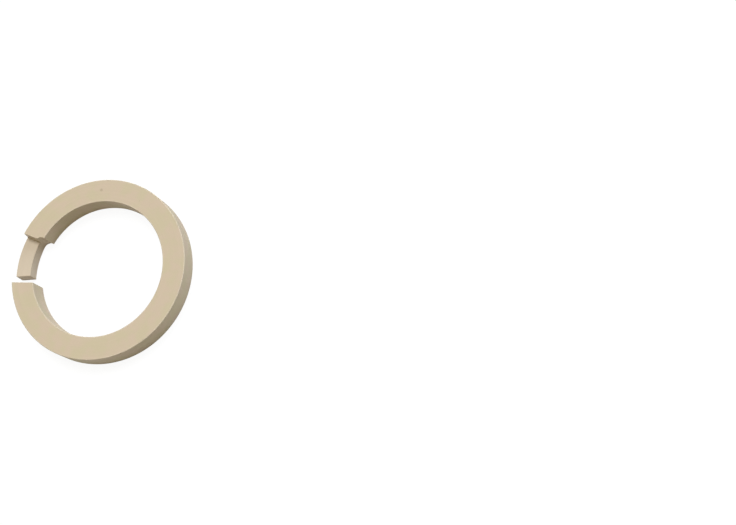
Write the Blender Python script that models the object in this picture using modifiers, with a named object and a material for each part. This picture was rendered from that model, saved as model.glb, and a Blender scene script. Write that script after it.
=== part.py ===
"""A split piston ring for a dry-running compressor, machined from natural PEEK.

The ring is one turned piece. Its joint is a gas-tight step: one end carries a
tongue along the lower outer corner, and the other end has the matching recess
under a lip, so that the joint stays closed as the ring springs out.

Units are metres, +Z is up. The ring lies flat on z = 0, its axis is Z, and its
joint is centred on the -X side. Angles run anticlockwise as seen from above.
"""
import math

import bmesh
import bpy
from mathutils import Vector

# The turned ring, in its free, sprung-open state
OUTER_DIAMETER = 0.0800
RADIAL_WIDTH = 0.0100
AXIAL_HEIGHT = 0.0096
EDGE_CHAMFER = 0.0003

# The joint; lengths along the ring are arcs at the outside diameter
TONGUE_LENGTH = 0.0193
TIP_TO_LIP = 0.0045
TONGUE_WIDTH = 0.0067
TONGUE_HEIGHT = 0.0055
ROOT_RADIUS = 0.0005
NOTCH_REACH = 0.0017
MILLED_EDGE_BREAK = 0.00015

# How far the end faces turn from the radial line, and how far they slope from upright
LIP_FACE_LEAN = math.radians(11.0)
SHOULDER_FACE_LEAN = math.radians(4.0)
SHOULDER_SLOPE = math.radians(8.0)
TIP_SLOPE = math.radians(3.0)

# The recess under the lip, which the tongue slides into
SEAL_CLEARANCE = 0.0003
RECESS_END_ROOM = 0.0012

# The end mill that cuts the notch and the recess
CUTTER_RADIUS = 0.0030

# Finish
PLASTIC_COLOUR = (0.64, 0.53, 0.38, 1.0)
PLASTIC_ROUGHNESS = 0.55

# Facets; the cutters' step differs from the turned one, so that their corners don't coincide
TURNED_STEPS = 176
ARC_STEP = math.radians(1.7)
FILLET_FACETS = 7
SMOOTH_ANGLE = math.radians(30.0)
MILLED_EDGE_ANGLE = math.radians(60.0)
FLAT_ANGLE = math.radians(0.1)
MERGE_DISTANCE = 0.00002

# Worked out from the sizes above
OUTER_RADIUS = OUTER_DIAMETER / 2
INNER_RADIUS = OUTER_RADIUS - RADIAL_WIDTH
TONGUE_INNER_RADIUS = OUTER_RADIUS - TONGUE_WIDTH
MIDDLE_RADIUS = (OUTER_RADIUS + INNER_RADIUS) / 2
FREE_GAP = TONGUE_LENGTH + TIP_TO_LIP
SHOULDER_ANGLE = math.pi - FREE_GAP / OUTER_RADIUS / 2
LIP_ANGLE = math.pi + FREE_GAP / OUTER_RADIUS / 2
TIP_ANGLE = SHOULDER_ANGLE + TONGUE_LENGTH / OUTER_RADIUS
MID_TONGUE_ANGLE = (SHOULDER_ANGLE + TIP_ANGLE) / 2
RECESS_END_ANGLE = LIP_ANGLE + (TONGUE_LENGTH + RECESS_END_ROOM) / OUTER_RADIUS
RECESS_INNER_RADIUS = TONGUE_INNER_RADIUS - SEAL_CLEARANCE
RECESS_HEIGHT = TONGUE_HEIGHT + SEAL_CLEARANCE
GAP_MIDDLE_ANGLE = (TIP_ANGLE + LIP_ANGLE) / 2
NOTCH_CENTRE_RADIUS = TONGUE_INNER_RADIUS - CUTTER_RADIUS
NOTCH_CENTRE_ANGLE = SHOULDER_ANGLE + (CUTTER_RADIUS - NOTCH_REACH) / NOTCH_CENTRE_RADIUS

# How far a cutter reaches past the ring on each side
OVERSHOOT = RADIAL_WIDTH / 2


def clear_scene():
    for scene_object in list(bpy.data.objects):
        bpy.data.objects.remove(scene_object, do_unlink=True)


def new_collection(name):
    collection = bpy.data.collections.new(name)
    bpy.context.scene.collection.children.link(collection)
    return collection


def polar(radius, angle):
    return Vector((radius * math.cos(angle), radius * math.sin(angle), 0.0))


def ring_arc(radius, start, end):
    """Points on a circle about the ring's axis, from start to end."""
    count = max(2, math.ceil(abs(end - start) / ARC_STEP))
    return [polar(radius, start + (end - start) * step / count) for step in range(count + 1)]


def corner_arc(centre, radius, start, end):
    """Points on a cutter's own circle, from one direction to another."""
    turn = end - start
    angles = [start + turn * step / FILLET_FACETS for step in range(FILLET_FACETS + 1)]
    return [centre + polar(radius, angle) for angle in angles]


def plastic_material():
    material = bpy.data.materials.new("natural_peek")
    material.use_nodes = True
    shader = material.node_tree.nodes["Principled BSDF"]
    shader.inputs["Base Color"].default_value = PLASTIC_COLOUR
    shader.inputs["Roughness"].default_value = PLASTIC_ROUGHNESS
    shader.inputs["Metallic"].default_value = 0.0
    return material


def turned_ring(collection):
    """The plain turned ring, before its joint is milled."""
    chamfer = EDGE_CHAMFER
    profile = [
        (INNER_RADIUS + chamfer, AXIAL_HEIGHT),
        (OUTER_RADIUS - chamfer, AXIAL_HEIGHT),
        (OUTER_RADIUS, AXIAL_HEIGHT - chamfer),
        (OUTER_RADIUS, chamfer),
        (OUTER_RADIUS - chamfer, 0.0),
        (INNER_RADIUS + chamfer, 0.0),
        (INNER_RADIUS, chamfer),
        (INNER_RADIUS, AXIAL_HEIGHT - chamfer),
    ]
    points = [(radius, 0.0, height) for radius, height in profile]
    edges = [(index, (index + 1) % len(points)) for index in range(len(points))]
    mesh = bpy.data.meshes.new("piston_ring")
    mesh.from_pydata(points, edges, [])
    ring = bpy.data.objects.new("piston_ring", mesh)
    collection.objects.link(ring)

    screw = ring.modifiers.new("turned", "SCREW")
    screw.axis = "Z"
    screw.angle = math.tau
    screw.steps = TURNED_STEPS
    screw.render_steps = TURNED_STEPS
    screw.use_merge_vertices = True
    screw.merge_threshold = MERGE_DISTANCE
    return ring


def face_line(angle, lean, shift):
    """Points inside and outside the ring on an end face that leans from the radial line."""
    across = polar(1.0, angle)
    along = Vector((-across.y, across.x, 0.0))
    points = []
    for radius in (INNER_RADIUS - OVERSHOOT, OUTER_RADIUS + OVERSHOOT):
        ahead = (radius - MIDDLE_RADIUS) * math.tan(lean) + shift
        points.append(across * radius + along * ahead)
    return points


def shoulder_line(height):
    """The shoulder's end face at a height; its foot stands out further than its top."""
    shift = (AXIAL_HEIGHT - height) * math.tan(SHOULDER_SLOPE)
    return face_line(SHOULDER_ANGLE, SHOULDER_FACE_LEAN, shift)


def tip_line(height):
    """The tongue's tip at a height; its foot stands out too."""
    return face_line(TIP_ANGLE, 0.0, (TONGUE_HEIGHT - height) * math.tan(TIP_SLOPE))


def milling_cutter(name, low_outline, low, high_outline, high, collection):
    """A closed cutter, lofted from one outline at height low to another at height high."""
    shape = bmesh.new()
    low_points = [shape.verts.new((corner.x, corner.y, low)) for corner in low_outline]
    high_points = [shape.verts.new((corner.x, corner.y, high)) for corner in high_outline]
    shape.faces.new(low_points)
    shape.faces.new(high_points)
    for index in range(len(low_points)):
        after = (index + 1) % len(low_points)
        shape.faces.new((low_points[index], low_points[after], high_points[after], high_points[index]))
    bmesh.ops.recalc_face_normals(shape, faces=shape.faces)
    mesh = bpy.data.meshes.new(name)
    shape.to_mesh(mesh)
    shape.free()

    cutter = bpy.data.objects.new(name, mesh)
    cutter.hide_render = True
    cutter.display_type = "WIRE"
    collection.objects.link(cutter)
    return cutter


def round_root_edge(cutter):
    """Rounds the cutter's lower edge at the shoulder, which leaves the root's radius."""
    shape = bmesh.new()
    shape.from_mesh(cutter.data)
    start, end = shoulder_line(TONGUE_HEIGHT)
    along = (end - start).normalized()
    root_edges = []
    for edge in shape.edges:
        low = all(abs(vert.co.z - TONGUE_HEIGHT) < MERGE_DISTANCE for vert in edge.verts)
        offsets = [along.cross(vert.co - start).z for vert in edge.verts]
        if low and all(abs(offset) < MERGE_DISTANCE for offset in offsets):
            root_edges.append(edge)
    bmesh.ops.bevel(
        shape,
        geom=root_edges,
        offset=ROOT_RADIUS,
        segments=FILLET_FACETS // 2,
        profile=0.5,
        affect="EDGES",
        clamp_overlap=True,
    )
    shape.to_mesh(cutter.data)
    shape.free()


def gap_cutter(collection):
    """Clears the whole section between the tongue's tip and the lip's end face."""
    low = -OVERSHOOT
    high = AXIAL_HEIGHT + OVERSHOOT
    lip_inside, lip_outside = face_line(LIP_ANGLE, -LIP_FACE_LEAN, 0.0)
    outlines = [tip_line(height) + [lip_outside, lip_inside] for height in (low, high)]
    return milling_cutter("gap_cutter", outlines[0], low, outlines[1], high, collection)


def shoulder_cutter(collection):
    """Clears the space above the tongue, back to the shoulder."""
    low = TONGUE_HEIGHT
    high = AXIAL_HEIGHT + OVERSHOOT
    ahead = ring_arc(OUTER_RADIUS + OVERSHOOT, MID_TONGUE_ANGLE, GAP_MIDDLE_ANGLE)
    ahead.append(polar(INNER_RADIUS - OVERSHOOT, GAP_MIDDLE_ANGLE))
    outlines = [shoulder_line(height) + ahead for height in (low, high)]
    cutter = milling_cutter("shoulder_cutter", outlines[0], low, outlines[1], high, collection)
    round_root_edge(cutter)
    return cutter


def notch_cutter(collection):
    """Clears the inner side of the tongue; its end keeps the end mill's radius."""
    inside = INNER_RADIUS - OVERSHOOT
    across = polar(1.0, NOTCH_CENTRE_ANGLE)
    along = Vector((-across.y, across.x, 0.0))
    centre = across * NOTCH_CENTRE_RADIUS
    outline = ring_arc(TONGUE_INNER_RADIUS, GAP_MIDDLE_ANGLE, NOTCH_CENTRE_ANGLE)
    outline += corner_arc(
        centre, CUTTER_RADIUS, NOTCH_CENTRE_ANGLE, NOTCH_CENTRE_ANGLE - math.pi / 2
    )[1:]
    outline.append(across * inside - along * CUTTER_RADIUS)
    outline.append(polar(inside, GAP_MIDDLE_ANGLE))
    high = AXIAL_HEIGHT + OVERSHOOT
    return milling_cutter("notch_cutter", outline, -OVERSHOOT, outline, high, collection)


def recess_cutter(collection):
    """Clears the recess under the lip that takes the tongue."""
    outside = OUTER_RADIUS + OVERSHOOT
    across = polar(1.0, RECESS_END_ANGLE)
    along = Vector((-across.y, across.x, 0.0))
    centre_radius = RECESS_INNER_RADIUS + CUTTER_RADIUS
    centre_turn = math.asin(CUTTER_RADIUS / centre_radius)
    centre = polar(centre_radius, RECESS_END_ANGLE - centre_turn)
    corner_start = RECESS_END_ANGLE - centre_turn + math.pi
    corner_end = RECESS_END_ANGLE + math.pi / 2
    outline = ring_arc(RECESS_INNER_RADIUS, GAP_MIDDLE_ANGLE, RECESS_END_ANGLE - centre_turn)
    outline += corner_arc(centre, CUTTER_RADIUS, corner_start, corner_end)[1:]
    outline.append(across * outside)
    outline += ring_arc(outside, RECESS_END_ANGLE, GAP_MIDDLE_ANGLE)[1:]
    return milling_cutter("recess_cutter", outline, -OVERSHOOT, outline, RECESS_HEIGHT, collection)


def mill_joint(ring, cutters):
    for cutter in cutters:
        cut = ring.modifiers.new(cutter.name, "BOOLEAN")
        cut.operation = "DIFFERENCE"
        cut.solver = "EXACT"
        cut.object = cutter


def merge_near_points(ring, name):
    weld = ring.modifiers.new(name, "WELD")
    weld.merge_threshold = MERGE_DISTANCE


def break_milled_edges(ring):
    """A small flat on each edge that the milling left, as deburring gives."""
    merge_near_points(ring, "tidy_cuts")
    flatten = ring.modifiers.new("join_flat_faces", "DECIMATE")
    flatten.decimate_type = "DISSOLVE"
    flatten.angle_limit = FLAT_ANGLE
    bevel = ring.modifiers.new("edge_break", "BEVEL")
    bevel.width = MILLED_EDGE_BREAK
    bevel.segments = 1
    bevel.limit_method = "ANGLE"
    bevel.angle_limit = MILLED_EDGE_ANGLE
    bevel.use_clamp_overlap = False
    merge_near_points(ring, "tidy_edge_break")


def finish_surface(ring):
    """Keeps the cut shape as a plain mesh, smooth round the ring and sharp at its edges."""
    evaluated = ring.evaluated_get(bpy.context.evaluated_depsgraph_get())
    mesh = bpy.data.meshes.new_from_object(evaluated)
    ring.modifiers.clear()
    ring.data = mesh
    mesh.name = "piston_ring"
    mesh.materials.clear()
    mesh.materials.append(plastic_material())
    mesh.shade_smooth()
    mesh.set_sharp_from_angle(angle=SMOOTH_ANGLE)


def build():
    clear_scene()
    parts = new_collection("piston_ring")
    cutters = new_collection("cutters")
    ring = turned_ring(parts)
    joint_cutters = [
        gap_cutter(cutters),
        shoulder_cutter(cutters),
        notch_cutter(cutters),
        recess_cutter(cutters),
    ]
    mill_joint(ring, joint_cutters)
    break_milled_edges(ring)
    finish_surface(ring)


build()
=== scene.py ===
"""A split piston ring of pale plastic with a gas-tight step joint, on a plain white table."""

import math
from types import SimpleNamespace

import bmesh
import bpy
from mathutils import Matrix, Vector


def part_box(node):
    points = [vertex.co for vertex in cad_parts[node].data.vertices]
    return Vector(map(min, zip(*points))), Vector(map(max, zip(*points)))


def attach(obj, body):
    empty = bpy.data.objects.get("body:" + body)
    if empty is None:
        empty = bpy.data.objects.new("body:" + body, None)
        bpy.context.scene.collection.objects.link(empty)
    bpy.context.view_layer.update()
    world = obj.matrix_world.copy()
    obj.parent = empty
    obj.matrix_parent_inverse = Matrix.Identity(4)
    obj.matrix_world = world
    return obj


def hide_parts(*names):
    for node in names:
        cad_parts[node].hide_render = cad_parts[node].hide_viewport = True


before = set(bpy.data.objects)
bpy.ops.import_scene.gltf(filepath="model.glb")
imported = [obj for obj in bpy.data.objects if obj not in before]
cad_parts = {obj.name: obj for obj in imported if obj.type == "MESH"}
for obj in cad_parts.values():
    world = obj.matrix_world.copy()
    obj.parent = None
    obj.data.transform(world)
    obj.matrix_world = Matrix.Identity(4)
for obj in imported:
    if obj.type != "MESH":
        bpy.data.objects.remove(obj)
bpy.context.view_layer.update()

# The turned ring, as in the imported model
LOW_CORNER, HIGH_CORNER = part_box("piston_ring")
OUTER_RADIUS = HIGH_CORNER.x
RADIAL_WIDTH = 0.0100
AXIAL_HEIGHT = HIGH_CORNER.z
EDGE_RADIUS = 0.0003

# The joint; lengths along the ring are arcs at the outside diameter
TONGUE_LENGTH = 0.0193
TIP_TO_LIP = 0.0045
TONGUE_WIDTH = 0.0067
TONGUE_HEIGHT = 0.0055
ROOT_RADIUS = 0.0005
MILLED_EDGE_BREAK = 0.00015

# How far the end faces turn from the radial line, and how far they slope from upright
LIP_FACE_LEAN = math.radians(11.0)
SHOULDER_FACE_LEAN = math.radians(4.0)
SHOULDER_SLOPE = math.radians(8.0)
TIP_SLOPE = math.radians(3.0)

# The recess under the lip, which the tongue slides into
SEAL_CLEARANCE = 0.0003
RECESS_END_ROOM = 0.0012

# The end mill, and how far its notch runs back past the shoulder
CUTTER_RADIUS = 0.0030
NOTCH_REACH = 0.0017

# Facets; turned stations keep clear of the milled faces by STATION_ROOM
STATION_STEP = math.radians(0.5)
STATION_ROOM = 0.00026
ARC_STEP = math.radians(0.49)
CORNER_SEGMENTS = 4
BREAK_SEGMENTS = 3
FILLET_FACETS = 11
ROOT_SEGMENTS = 6

# What counts as a milled edge, a flat seam, a level face and one point
MILLED_EDGE_ANGLE = math.radians(60.0)
FLAT_ANGLE = math.radians(0.1)
LEVEL_NORMAL = 0.9999
MERGE_DISTANCE = 0.00001

# Worked out from the sizes above
INNER_RADIUS = OUTER_RADIUS - RADIAL_WIDTH
MIDDLE_RADIUS = (OUTER_RADIUS + INNER_RADIUS) / 2
TONGUE_INNER_RADIUS = OUTER_RADIUS - TONGUE_WIDTH
FREE_GAP = TONGUE_LENGTH + TIP_TO_LIP
SHOULDER_ANGLE = math.pi - FREE_GAP / OUTER_RADIUS / 2
LIP_ANGLE = math.pi + FREE_GAP / OUTER_RADIUS / 2
TIP_ANGLE = SHOULDER_ANGLE + TONGUE_LENGTH / OUTER_RADIUS
RECESS_END_ANGLE = LIP_ANGLE + (TONGUE_LENGTH + RECESS_END_ROOM) / OUTER_RADIUS
RECESS_INNER_RADIUS = TONGUE_INNER_RADIUS - SEAL_CLEARANCE
RECESS_HEIGHT = TONGUE_HEIGHT + SEAL_CLEARANCE
MID_TONGUE_ANGLE = (SHOULDER_ANGLE + TIP_ANGLE) / 2
GAP_MIDDLE_ANGLE = (TIP_ANGLE + LIP_ANGLE) / 2
NOTCH_CENTRE_RADIUS = TONGUE_INNER_RADIUS - CUTTER_RADIUS
NOTCH_CENTRE_ANGLE = SHOULDER_ANGLE + (CUTTER_RADIUS - NOTCH_REACH) / NOTCH_CENTRE_RADIUS
NOTCH_END_ANGLE = NOTCH_CENTRE_ANGLE - math.asin(CUTTER_RADIUS / INNER_RADIUS)

# How far a cutter reaches past the ring on each side
OVERSHOOT = RADIAL_WIDTH / 2

# Which tool left a face, kept as its material's number while the ring is cut
TOOL_SURFACES = ("turned", "milled", "broken_edge")
MILLED = TOOL_SURFACES.index("milled")
BROKEN_EDGE = TOOL_SURFACES.index("broken_edge")
tool_materials = [bpy.data.materials.new(name) for name in TOOL_SURFACES]

scene = bpy.context.scene


# Points and lines
def polar(radius, angle):
    return Vector((radius * math.cos(angle), radius * math.sin(angle), 0.0))


def ring_arc(radius, start, end):
    count = max(2, math.ceil(abs(end - start) / ARC_STEP))
    return [polar(radius, start + (end - start) * step / count) for step in range(count + 1)]


def corner_arc(centre, radius, start, end):
    turn = end - start
    angles = [start + turn * step / FILLET_FACETS for step in range(FILLET_FACETS + 1)]
    return [centre + polar(radius, angle) for angle in angles]


def face_line(angle, lean, shift):
    """Points inside and outside the ring on an end face that leans from the radial line."""
    across = polar(1.0, angle)
    along = Vector((-across.y, across.x, 0.0))
    points = []
    for radius in (INNER_RADIUS - OVERSHOOT, OUTER_RADIUS + OVERSHOOT):
        ahead = (radius - MIDDLE_RADIUS) * math.tan(lean) + shift
        points.append(across * radius + along * ahead)
    return points


def shoulder_line(height):
    """The shoulder's end face at a height; its foot stands out further than its top."""
    shift = (AXIAL_HEIGHT - height) * math.tan(SHOULDER_SLOPE)
    return face_line(SHOULDER_ANGLE, SHOULDER_FACE_LEAN, shift)


def tip_line(height):
    """The tongue's tip at a height; its foot stands out further than its top."""
    return face_line(TIP_ANGLE, 0.0, (TONGUE_HEIGHT - height) * math.tan(TIP_SLOPE))


def lip_line():
    """The lip's end face, which is upright."""
    return face_line(LIP_ANGLE, -LIP_FACE_LEAN, 0.0)


def wall_angle(line, radius):
    """Where a line of two points meets the ring's wall of that radius."""
    start, end = line
    share = (radius - start.length) / (end.length - start.length)
    point = start.lerp(end, share)
    return math.atan2(point.y, point.x) % math.tau


# The plain turned ring
def station_angles():
    """Angles of the turned ring's facets, with room left beside each milled face."""
    milled = [
        wall_angle(shoulder_line(AXIAL_HEIGHT), OUTER_RADIUS),
        wall_angle(shoulder_line(TONGUE_HEIGHT), OUTER_RADIUS),
        wall_angle(tip_line(TONGUE_HEIGHT), OUTER_RADIUS),
        wall_angle(tip_line(0.0), OUTER_RADIUS),
        wall_angle(lip_line(), OUTER_RADIUS),
        wall_angle(lip_line(), INNER_RADIUS),
        RECESS_END_ANGLE,
        NOTCH_END_ANGLE,
    ]
    room = STATION_ROOM / INNER_RADIUS
    count = round(math.tau / STATION_STEP)
    angles = [math.tau * step / count for step in range(count)]
    return [angle for angle in angles if all(abs(angle - face) > room for face in milled)]


def turned_profile():
    """The square section with its rounded corners, as (radius, height) pairs."""
    corners = [
        (OUTER_RADIUS - EDGE_RADIUS, AXIAL_HEIGHT - EDGE_RADIUS, math.pi / 2),
        (OUTER_RADIUS - EDGE_RADIUS, EDGE_RADIUS, 0.0),
        (INNER_RADIUS + EDGE_RADIUS, EDGE_RADIUS, -math.pi / 2),
        (INNER_RADIUS + EDGE_RADIUS, AXIAL_HEIGHT - EDGE_RADIUS, -math.pi),
    ]
    profile = []
    for radius, height, start in corners:
        for step in range(CORNER_SEGMENTS + 1):
            angle = start - math.pi / 2 * step / CORNER_SEGMENTS
            across = radius + EDGE_RADIUS * math.cos(angle)
            up = height + EDGE_RADIUS * math.sin(angle)
            profile.append((across, up))
    return profile


def turned_ring():
    """The ring before its joint is milled."""
    profile = turned_profile()
    angles = station_angles()
    points = []
    for angle in angles:
        points += [
            (across * math.cos(angle), across * math.sin(angle), up) for across, up in profile
        ]
    size = len(profile)
    faces = []
    for station in range(len(angles)):
        here = station * size
        there = (station + 1) % len(angles) * size
        for corner in range(size):
            after = (corner + 1) % size
            faces.append((here + corner, here + after, there + after, there + corner))
    mesh = bpy.data.meshes.new("turned_ring")
    mesh.from_pydata(points, [], faces)
    for material in tool_materials:
        mesh.materials.append(material)
    turned = bpy.data.objects.new("ring_machined", mesh)
    scene.collection.objects.link(turned)
    return turned


# Cutters for the joint
def milling_cutter(name, outline, low, high):
    """A closed shape whose outline at each height comes from the function outline."""
    shape = bmesh.new()
    floor_points = [shape.verts.new((corner.x, corner.y, low)) for corner in outline(low)]
    roof_points = [shape.verts.new((corner.x, corner.y, high)) for corner in outline(high)]
    shape.faces.new(floor_points)
    shape.faces.new(roof_points)
    for index in range(len(floor_points)):
        after = (index + 1) % len(floor_points)
        side = (floor_points[index], floor_points[after], roof_points[after], roof_points[index])
        shape.faces.new(side)
    bmesh.ops.recalc_face_normals(shape, faces=shape.faces)
    for face in shape.faces:
        face.material_index = MILLED
    mesh = bpy.data.meshes.new(name)
    shape.to_mesh(mesh)
    shape.free()
    for material in tool_materials:
        mesh.materials.append(material)
    cutter = bpy.data.objects.new(name, mesh)
    cutter.hide_render = True
    scene.collection.objects.link(cutter)
    return cutter


def round_root_edge(cutter):
    """Rounds the cutter's lower edge at the shoulder, which leaves the root's radius."""
    shape = bmesh.new()
    shape.from_mesh(cutter.data)
    start, end = shoulder_line(TONGUE_HEIGHT)
    along = (end - start).normalized()
    root_edges = []
    for edge in shape.edges:
        low = all(abs(vert.co.z - TONGUE_HEIGHT) < MERGE_DISTANCE for vert in edge.verts)
        offsets = [along.cross(vert.co - start).z for vert in edge.verts]
        if low and all(abs(offset) < MERGE_DISTANCE for offset in offsets):
            root_edges.append(edge)
    bmesh.ops.bevel(
        shape,
        geom=root_edges,
        offset=ROOT_RADIUS,
        segments=ROOT_SEGMENTS,
        profile=0.5,
        affect="EDGES",
        clamp_overlap=True,
        material=MILLED,
    )
    shape.to_mesh(cutter.data)
    shape.free()


def gap_cutter():
    """Clears the full section between the tongue's tip and the lip."""
    return milling_cutter(
        "gap_cutter",
        lambda height: tip_line(height) + lip_line()[::-1],
        -OVERSHOOT,
        AXIAL_HEIGHT + OVERSHOOT,
    )


def shoulder_cutter():
    """Clears what stands above the tongue."""
    inside = polar(INNER_RADIUS - OVERSHOOT, GAP_MIDDLE_ANGLE)
    outer = ring_arc(OUTER_RADIUS + OVERSHOOT, MID_TONGUE_ANGLE, GAP_MIDDLE_ANGLE)
    cutter = milling_cutter(
        "shoulder_cutter",
        lambda height: shoulder_line(height) + outer + [inside],
        TONGUE_HEIGHT,
        AXIAL_HEIGHT + OVERSHOOT,
    )
    round_root_edge(cutter)
    return cutter


def notch_cutter():
    """Clears the space inside the tongue, with the end mill's quarter round at its end."""
    inside = INNER_RADIUS - OVERSHOOT
    across = polar(1.0, NOTCH_CENTRE_ANGLE)
    along = Vector((-across.y, across.x, 0.0))
    centre = across * NOTCH_CENTRE_RADIUS
    corner_end = NOTCH_CENTRE_ANGLE - math.pi / 2
    outline = ring_arc(TONGUE_INNER_RADIUS, GAP_MIDDLE_ANGLE, NOTCH_CENTRE_ANGLE)
    outline += corner_arc(centre, CUTTER_RADIUS, NOTCH_CENTRE_ANGLE, corner_end)[1:-1]
    outline.append(across * inside - along * CUTTER_RADIUS)
    outline.append(polar(inside, GAP_MIDDLE_ANGLE))
    high = AXIAL_HEIGHT + OVERSHOOT
    return milling_cutter("notch_cutter", lambda height: outline, -OVERSHOOT, high)


def recess_cutter():
    """Cuts the lower outer corner under the lip to the tongue's section and its clearance."""
    outside = OUTER_RADIUS + OVERSHOOT
    across = polar(1.0, RECESS_END_ANGLE)
    centre_radius = RECESS_INNER_RADIUS + CUTTER_RADIUS
    corner_angle = RECESS_END_ANGLE - math.asin(CUTTER_RADIUS / centre_radius)
    centre = polar(centre_radius, corner_angle)
    corner_end = RECESS_END_ANGLE + math.pi / 2
    outline = ring_arc(RECESS_INNER_RADIUS, GAP_MIDDLE_ANGLE, corner_angle)
    outline += corner_arc(centre, CUTTER_RADIUS, corner_angle + math.pi, corner_end)[1:]
    outline.append(across * outside)
    outline += ring_arc(outside, RECESS_END_ANGLE, GAP_MIDDLE_ANGLE)[1:]
    return milling_cutter("recess_cutter", lambda height: outline, -OVERSHOOT, RECESS_HEIGHT)


# Milling
def baked_mesh(source):
    """The object's mesh with its modifiers applied, and its modifiers cleared."""
    evaluated = source.evaluated_get(bpy.context.evaluated_depsgraph_get())
    mesh = bpy.data.meshes.new_from_object(evaluated)
    source.modifiers.clear()
    source.data = mesh
    return mesh


def join_flat_faces(mesh):
    """Makes one face of each level surface, and of each flat face that the milling split."""
    shape = bmesh.new()
    shape.from_mesh(mesh)
    bmesh.ops.remove_doubles(shape, verts=shape.verts, dist=MERGE_DISTANCE)
    inner_edges = []
    for edge in shape.edges:
        if len(edge.link_faces) != 2:
            continue
        normals = [face.normal for face in edge.link_faces]
        tools = [face.material_index for face in edge.link_faces]
        level = all(abs(normal.z) > LEVEL_NORMAL for normal in normals)
        if (level or tools == [MILLED, MILLED]) and normals[0].angle(normals[1]) < FLAT_ANGLE:
            inner_edges.append(edge)
    bmesh.ops.dissolve_edges(shape, edges=inner_edges, use_verts=True, use_face_split=False)
    shape.to_mesh(mesh)
    shape.free()


def mill_joint(turned):
    """Cuts the gap, the shoulder, the notch and the recess."""
    cutters = [gap_cutter(), shoulder_cutter(), notch_cutter(), recess_cutter()]
    for cutter in cutters:
        cut = turned.modifiers.new(cutter.name, "BOOLEAN")
        cut.operation = "DIFFERENCE"
        cut.solver = "EXACT"
        cut.material_mode = "INDEX"
        cut.object = cutter
    mesh = baked_mesh(turned)
    for cutter in cutters:
        bpy.data.objects.remove(cutter, do_unlink=True)
    join_flat_faces(mesh)
    mesh.shade_smooth()


def break_milled_edges(milled):
    """A small rounded bevel along the sharp edges that the cutters left."""
    bevel = milled.modifiers.new("edge_break", "BEVEL")
    bevel.width = MILLED_EDGE_BREAK
    bevel.segments = BREAK_SEGMENTS
    bevel.limit_method = "ANGLE"
    bevel.angle_limit = MILLED_EDGE_ANGLE
    bevel.use_clamp_overlap = False
    bevel.material = BROKEN_EDGE
    weld = milled.modifiers.new("tidy", "WELD")
    weld.merge_threshold = MERGE_DISTANCE
    even = milled.modifiers.new("even_shading", "WEIGHTED_NORMAL")
    even.weight = 100
    baked_mesh(milled)


def mark_tool_surfaces(mesh):
    """Turns the material numbers into face values that the plastic's nodes read."""
    for number in (MILLED, BROKEN_EDGE):
        marks = mesh.attributes.new(TOOL_SURFACES[number], "FLOAT", "FACE")
        for face in mesh.polygons:
            marks.data[face.index].value = float(face.material_index == number)
    for face in mesh.polygons:
        face.material_index = 0


ring = turned_ring()
mill_joint(ring)
break_milled_edges(ring)
mark_tool_surfaces(ring.data)

# Colours of the plastic
PINKISH = (0.615, 0.488, 0.350)
YELLOWISH = (0.590, 0.495, 0.325)
MILLED_PLASTIC = (0.625, 0.515, 0.380)
# The edge colour is partly burnish and partly a painted highlight
BURNISH_AND_HIGHLIGHT = (0.680, 0.580, 0.440)
SPECK = (0.210, 0.130, 0.070)

# Clouds, whose hue turns over noise from -CLOUD_RANGE to CLOUD_RANGE, and the stock's grain
CLOUD_SIZE = 0.0060
CLOUD_ROUGHNESS = 0.55
CLOUD_RANGE = 0.16
GRAIN_SIZE = 0.00035
GRAIN_TONE = 0.05

# Lathe marks; a sweep is how much they change once round the ring
BROAD_LATHE_WIDTH = 0.00055
BROAD_LATHE_SWEEP = 0.5
BROAD_LATHE_TONE = 0.05
FINE_LATHE_WIDTH = 0.00017
FINE_LATHE_SWEEP = 1.5

# Mill marks: arcs on level faces, lines on upright ones
MILL_ARC_RADIUS = 0.0060
MILL_ARC_WIDTH = 0.00022
MILL_LINE_WIDTH = 0.00025
MILL_LINE_LENGTH = 0.0050

# Between these heights of its normal, a face's marks turn from an upright one's to a level one's
UPRIGHT_FACE = 0.5
LEVEL_FACE = 0.85

# Edges made paler, partly burnish and partly painted highlight; a point's distance from the wall
# and its distance from the face are added up
BURNISH_AND_HIGHLIGHT_START = 2.2 * EDGE_RADIUS
BURNISH_AND_HIGHLIGHT_FULL = 0.9 * EDGE_RADIUS
BURNISH_AND_HIGHLIGHT_STRENGTH = 0.5

# Specks; radii are shares of the spacing, and SPECK_SHARE of the cells have one
SPECK_SPACING = 0.0045
SPECK_RADIUS = 0.045
SPECK_CORE = 0.020
SPECK_SHARE = 0.28
SPECK_STRENGTH = 0.45

# The smudge on the upper face
SMUDGE_PLACE = polar(0.03536, math.radians(100.4))
SMUDGE_RADIUS = 0.00095
SMUDGE_CORE = 0.00025
SMUDGE_WAVE = 0.0005
SMUDGE_STRENGTH = 0.30

# Heights of the relief
BROAD_LATHE_HEIGHT = 6.0e-6
FINE_LATHE_HEIGHT = 3.0e-6
MILL_HEIGHT = 7.0e-6
GRAIN_HEIGHT = 2.5e-6
SMUDGE_HEIGHT = -20.0e-6

# Gloss, and what the marks add to the roughness
ROUGHNESS = 0.60
LATHE_ROUGHNESS = 0.12
GRAIN_ROUGHNESS = 0.08
MILLED_ROUGHNESS = -0.05
REFRACTIVE_INDEX = 1.5
SPECULAR_LEVEL = 0.3


# Short names for shader nodes
def connect(tree, value, socket):
    """Links a socket to an input, or writes a plain value into it."""
    if isinstance(value, bpy.types.NodeSocket):
        tree.links.new(value, socket)
    else:
        socket.default_value = value


def calc(tree, operation, *values):
    node = tree.nodes.new("ShaderNodeMath")
    node.operation = operation
    for value, socket in zip(values, node.inputs):
        connect(tree, value, socket)
    return node.outputs[0]


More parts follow.
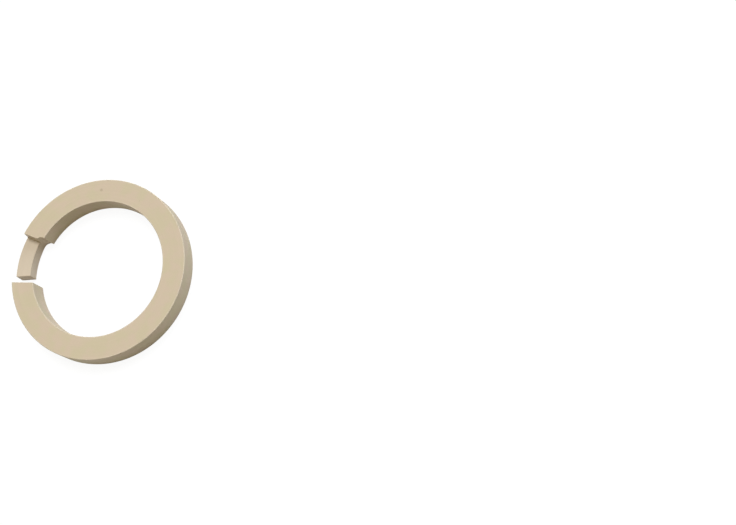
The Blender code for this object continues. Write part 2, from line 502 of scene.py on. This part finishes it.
def ramp(tree, value, start, end):
    """Rises smoothly from 0 at start to 1 at end."""
    node = tree.nodes.new("ShaderNodeMapRange")
    node.interpolation_type = "SMOOTHSTEP"
    connect(tree, value, node.inputs["Value"])
    node.inputs["From Min"].default_value = start
    node.inputs["From Max"].default_value = end
    return node.outputs["Result"]


def vector(tree, *values):
    node = tree.nodes.new("ShaderNodeCombineXYZ")
    for value, socket in zip(values, node.inputs):
        connect(tree, value, socket)
    return node.outputs[0]


def separate(tree, value):
    node = tree.nodes.new("ShaderNodeSeparateXYZ")
    tree.links.new(value, node.inputs[0])
    return node.outputs


def scale(tree, value, factor):
    """A place or a colour, multiplied by a number."""
    node = tree.nodes.new("ShaderNodeVectorMath")
    node.operation = "SCALE"
    tree.links.new(value, node.inputs[0])
    connect(tree, factor, node.inputs["Scale"])
    return node.outputs[0]


def noise(tree, place, detail, roughness=0.5):
    """Noise about zero, from roughly -0.5 to 0.5, one cell to each unit of place."""
    node = tree.nodes.new("ShaderNodeTexNoise")
    connect(tree, place, node.inputs["Vector"])
    node.inputs["Scale"].default_value = 1.0
    node.inputs["Detail"].default_value = detail
    node.inputs["Roughness"].default_value = roughness
    return calc(tree, "SUBTRACT", node.outputs["Fac"], 0.5)


def mix_colour(tree, factor, first, second):
    node = tree.nodes.new("ShaderNodeMix")
    node.data_type = "RGBA"
    connect(tree, factor, node.inputs["Factor"])
    for value, name in ((first, "A_Color"), (second, "B_Color")):
        socket = next(item for item in node.inputs if item.identifier == name)
        connect(tree, value if isinstance(value, bpy.types.NodeSocket) else (*value, 1.0), socket)
    return next(item for item in node.outputs if item.identifier == "Result_Color")


def blend(tree, factor, first, second):
    """A number between two others."""
    gap = calc(tree, "SUBTRACT", second, first)
    return calc(tree, "MULTIPLY_ADD", gap, factor, first)


def face_value(tree, name):
    node = tree.nodes.new("ShaderNodeAttribute")
    node.attribute_name = name
    return node.outputs["Fac"]


# The plastic's marks
def ring_place(tree):
    """A point's place on the ring, its direction from the axis, and how level its face is."""
    coordinates = tree.nodes.new("ShaderNodeTexCoord")
    point = coordinates.outputs["Object"]
    x, y, z = separate(tree, point)
    upward = separate(tree, coordinates.outputs["Normal"])["Z"]
    squares = calc(tree, "ADD", calc(tree, "POWER", x, 2.0), calc(tree, "POWER", y, 2.0))
    radius = calc(tree, "SQRT", squares)
    minus_x = calc(tree, "MULTIPLY", x, -1.0)
    minus_y = calc(tree, "MULTIPLY", y, -1.0)
    level = ramp(tree, calc(tree, "ABSOLUTE", upward), UPRIGHT_FACE, LEVEL_FACE)
    return SimpleNamespace(
        point=point,
        x=x,
        y=y,
        z=z,
        from_middle=calc(tree, "SUBTRACT", radius, MIDDLE_RADIUS),
        ahead=calc(tree, "DIVIDE", x, radius),
        aside=calc(tree, "DIVIDE", y, radius),
        from_joint=calc(tree, "ARCTAN2", minus_y, minus_x),
        across_lathe=blend(tree, level, z, radius),
        level=level,
    )


def lathe_marks(tree, at, width, sweep):
    """Marks that run round the ring, on its faces and on its walls."""
    along_one = calc(tree, "MULTIPLY", at.ahead, sweep)
    along_two = calc(tree, "MULTIPLY", at.aside, sweep)
    steps = calc(tree, "DIVIDE", at.across_lathe, width)
    return noise(tree, vector(tree, along_one, along_two, steps), detail=1.0)


def mill_marks(tree, at):
    """Arcs on level faces, and lines along the tool on upright ones."""
    reach_squared = calc(tree, "POWER", at.from_middle, 2.0)
    bow = calc(tree, "SUBTRACT", MILL_ARC_RADIUS**2, reach_squared)
    crest = calc(tree, "SQRT", calc(tree, "MAXIMUM", bow, 0.0))
    travel = calc(tree, "SUBTRACT", calc(tree, "MULTIPLY", at.from_joint, MIDDLE_RADIUS), crest)
    arcs_place = vector(tree, calc(tree, "DIVIDE", travel, MILL_ARC_WIDTH), 0.0, 0.0)
    lines_place = vector(
        tree,
        calc(tree, "DIVIDE", at.x, MILL_LINE_WIDTH),
        calc(tree, "DIVIDE", at.y, MILL_LINE_WIDTH),
        calc(tree, "DIVIDE", at.z, MILL_LINE_LENGTH),
    )
    arcs = noise(tree, arcs_place, detail=1.0)
    lines = noise(tree, lines_place, detail=1.0)
    return blend(tree, at.level, lines, arcs)


def smudge_mask(tree, at, grain):
    """1 at the smudge on the upper face and 0 away from it, with a wavy outline."""
    distance = tree.nodes.new("ShaderNodeVectorMath")
    distance.operation = "DISTANCE"
    tree.links.new(at.point, distance.inputs[0])
    distance.inputs[1].default_value = (SMUDGE_PLACE.x, SMUDGE_PLACE.y, AXIAL_HEIGHT)
    wavy = calc(tree, "MULTIPLY_ADD", grain, SMUDGE_WAVE, distance.outputs["Value"])
    return ramp(tree, wavy, SMUDGE_RADIUS, SMUDGE_CORE)


def mottled_colour(tree, at, marks):
    """Cloudy beige, paler where it was milled, with a little of the lathe marks and grain."""
    clouds = noise(tree, scale(tree, at.point, 1 / CLOUD_SIZE), 2.0, CLOUD_ROUGHNESS)
    hue = mix_colour(tree, ramp(tree, clouds, -CLOUD_RANGE, CLOUD_RANGE), PINKISH, YELLOWISH)
    hue = mix_colour(tree, marks.milled, hue, MILLED_PLASTIC)
    tone = calc(tree, "MULTIPLY_ADD", marks.broad_lathe, BROAD_LATHE_TONE, 1.0)
    tone = calc(tree, "MULTIPLY_ADD", marks.grain, GRAIN_TONE, tone)
    return scale(tree, hue, tone)


def with_burnish_and_painted_highlight(tree, at, colour):
    """Burnish and a painted highlight, paler along the turned corners and the broken edges."""
    from_wall = calc(tree, "SUBTRACT", RADIAL_WIDTH / 2, calc(tree, "ABSOLUTE", at.from_middle))
    off_centre = calc(tree, "ABSOLUTE", calc(tree, "SUBTRACT", at.z, AXIAL_HEIGHT / 2))
    from_face = calc(tree, "SUBTRACT", AXIAL_HEIGHT / 2, off_centre)
    from_edge = calc(tree, "ADD", from_wall, from_face)
    # Painted highlight and burnish along every turned corner and broken edge, whatever the light
    rim_burnish_and_highlight = ramp(tree, from_edge, BURNISH_AND_HIGHLIGHT_START, BURNISH_AND_HIGHLIGHT_FULL)
    edge = calc(tree, "MAXIMUM", rim_burnish_and_highlight, face_value(tree, "broken_edge"))
    return mix_colour(tree, calc(tree, "MULTIPLY", edge, BURNISH_AND_HIGHLIGHT_STRENGTH), colour, BURNISH_AND_HIGHLIGHT)


def with_specks(tree, at, colour):
    """A few small dark specks, in some of the cells of a Voronoi texture."""
    cells = tree.nodes.new("ShaderNodeTexVoronoi")
    cells.feature = "F1"
    tree.links.new(at.point, cells.inputs["Vector"])
    cells.inputs["Scale"].default_value = 1 / SPECK_SPACING
    spot = ramp(tree, cells.outputs["Distance"], SPECK_RADIUS, SPECK_CORE)
    chance = tree.nodes.new("ShaderNodeSeparateColor")
    tree.links.new(cells.outputs["Color"], chance.inputs[0])
    chosen = calc(tree, "GREATER_THAN", chance.outputs["Red"], 1 - SPECK_SHARE)
    spots = calc(tree, "MULTIPLY", calc(tree, "MULTIPLY", spot, chosen), SPECK_STRENGTH)
    return mix_colour(tree, spots, colour, SPECK)


def roughness(tree, marks):
    value = calc(tree, "MULTIPLY_ADD", marks.fine_lathe, LATHE_ROUGHNESS, ROUGHNESS)
    value = calc(tree, "MULTIPLY_ADD", marks.grain, GRAIN_ROUGHNESS, value)
    return calc(tree, "MULTIPLY_ADD", marks.milled, MILLED_ROUGHNESS, value)


def relief(tree, marks):
    """The normal of the marks' relief, whose heights are in metres."""
    turned = calc(tree, "MULTIPLY", marks.broad_lathe, BROAD_LATHE_HEIGHT)
    turned = calc(tree, "MULTIPLY_ADD", marks.fine_lathe, FINE_LATHE_HEIGHT, turned)
    height = blend(tree, marks.milled, turned, calc(tree, "MULTIPLY", marks.mill, MILL_HEIGHT))
    height = calc(tree, "MULTIPLY_ADD", marks.grain, GRAIN_HEIGHT, height)
    height = calc(tree, "MULTIPLY_ADD", marks.smudge, SMUDGE_HEIGHT, height)
    bump = tree.nodes.new("ShaderNodeBump")
    bump.inputs["Distance"].default_value = 1.0
    tree.links.new(height, bump.inputs["Height"])
    return bump.outputs["Normal"]


def plastic():
    """Natural beige plastic: faint mottling, a few specks, and the marks of lathe and mill."""
    material = bpy.data.materials.new("machined_beige_plastic")
    material.use_nodes = True
    tree = material.node_tree
    shader = tree.nodes["Principled BSDF"]
    at = ring_place(tree)
    marks = SimpleNamespace(
        milled=face_value(tree, "milled"),
        broad_lathe=lathe_marks(tree, at, BROAD_LATHE_WIDTH, BROAD_LATHE_SWEEP),
        fine_lathe=lathe_marks(tree, at, FINE_LATHE_WIDTH, FINE_LATHE_SWEEP),
        mill=mill_marks(tree, at),
        grain=noise(tree, scale(tree, at.point, 1 / GRAIN_SIZE), detail=2.0),
    )
    marks.smudge = smudge_mask(tree, at, marks.grain)
    colour = mottled_colour(tree, at, marks)
    colour = with_burnish_and_painted_highlight(tree, at, colour)
    colour = with_specks(tree, at, colour)
    smudge = calc(tree, "MULTIPLY", marks.smudge, SMUDGE_STRENGTH)
    colour = mix_colour(tree, smudge, colour, SPECK)
    tree.links.new(colour, shader.inputs["Base Color"])
    tree.links.new(roughness(tree, marks), shader.inputs["Roughness"])
    tree.links.new(relief(tree, marks), shader.inputs["Normal"])
    shader.inputs["IOR"].default_value = REFRACTIVE_INDEX
    shader.inputs["Specular IOR Level"].default_value = SPECULAR_LEVEL
    return material


ring.data.materials.clear()
ring.data.materials.append(plastic())
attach(ring, "root")
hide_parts("piston_ring")

# Floor; FLOOR_BOUNCE lights the ring, and the camera sees FLOOR_GLOW, and shadow on FLOOR_SEEN
FLOOR_SIZE = 6.0
FLOOR_DROP = 0.00002
FLOOR_BOUNCE = 0.68
FLOOR_SEEN = 0.10
FLOOR_GLOW = 0.93

# Light; a lamp has a name, strength, colour, azimuth, elevation and softness, angles in degrees
SKY = (0.20, 0.175, 0.10)
WHITE = (1.0, 1.0, 1.0)
LAMPS = (
    ("overhead", 2.37, (0.97, 1.00, 1.06), 105.0, 68.0, 30.0),
    ("key", 1.20, (0.84, 1.00, 1.27), 50.0, 22.0, 34.0),
)
LAMP_DISTANCE = 0.5


def seen_directly(tree):
    """1 for camera, mirror and glass rays, which see a plain white surrounding."""
    rays = tree.nodes.new("ShaderNodeLightPath")
    seen = rays.outputs["Is Camera Ray"]
    for name in ("Is Glossy Ray", "Is Transmission Ray"):
        seen = calc(tree, "MAXIMUM", seen, rays.outputs[name])
    return seen


def white_table():
    """White to the camera apart from the ring's shadow, with a bounce that is set by itself."""
    material = bpy.data.materials.new("white_table")
    material.use_nodes = True
    tree = material.node_tree
    tree.nodes.remove(tree.nodes["Principled BSDF"])
    seen = seen_directly(tree)
    surface = tree.nodes.new("ShaderNodeBsdfDiffuse")
    tree.links.new(blend(tree, seen, FLOOR_BOUNCE, FLOOR_SEEN), surface.inputs["Color"])
    glow = tree.nodes.new("ShaderNodeEmission")
    tree.links.new(calc(tree, "MULTIPLY", seen, FLOOR_GLOW), glow.inputs["Strength"])
    both = tree.nodes.new("ShaderNodeAddShader")
    tree.links.new(surface.outputs[0], both.inputs[0])
    tree.links.new(glow.outputs[0], both.inputs[1])
    tree.links.new(both.outputs[0], tree.nodes["Material Output"].inputs["Surface"])
    return material


def floor():
    half = FLOOR_SIZE / 2
    corners = [(-half, -half, 0.0), (half, -half, 0.0), (half, half, 0.0), (-half, half, 0.0)]
    mesh = bpy.data.meshes.new("floor")
    mesh.from_pydata(corners, [], [(0, 1, 2, 3)])
    mesh.materials.append(white_table())
    table = bpy.data.objects.new("floor", mesh)
    table.location.z = LOW_CORNER.z - FLOOR_DROP
    scene.collection.objects.link(table)


def sky():
    """White to the camera, and a dim warm light on the ring."""
    world = bpy.data.worlds.new("white_room")
    world.use_nodes = True
    tree = world.node_tree
    light = mix_colour(tree, seen_directly(tree), SKY, WHITE)
    tree.links.new(light, tree.nodes["Background"].inputs["Color"])
    scene.world = world


def lamp(name, strength, colour, azimuth, elevation, softness):
    """A sun lamp that shines from that direction; its softness is the angle it spans."""
    light = bpy.data.lights.new(name, "SUN")
    light.energy = strength
    light.color = colour
    light.angle = math.radians(softness)
    holder = bpy.data.objects.new(name, light)
    towards = polar(math.cos(math.radians(elevation)), math.radians(azimuth))
    towards.z = math.sin(math.radians(elevation))
    holder.rotation_euler = towards.to_track_quat("Z", "Y").to_euler()
    holder.location = towards * LAMP_DISTANCE
    scene.collection.objects.link(holder)


floor()
sky()
for lamp_row in LAMPS:
    lamp(*lamp_row)
scene.view_settings.view_transform = "Standard"

# Camera, from the ring's outline in the photograph; turns in degrees, lens and sensor in mm
CAMERA_PLACE = (0.259024, -0.102344, 0.495302)
CAMERA_TURN = (15.8377, 13.5468, 10.3337)
LENS = 62.575
SENSOR_WIDTH = 36.0
CLIP_START = 0.01

lens = bpy.data.cameras.new("camera")
lens.lens = LENS
lens.sensor_width = SENSOR_WIDTH
lens.clip_start = CLIP_START
camera = bpy.data.objects.new("camera", lens)
camera.location = CAMERA_PLACE
camera.rotation_euler = [math.radians(angle) for angle in CAMERA_TURN]
scene.collection.objects.link(camera)
scene.camera = camera

bpy.context.view_layer.update()
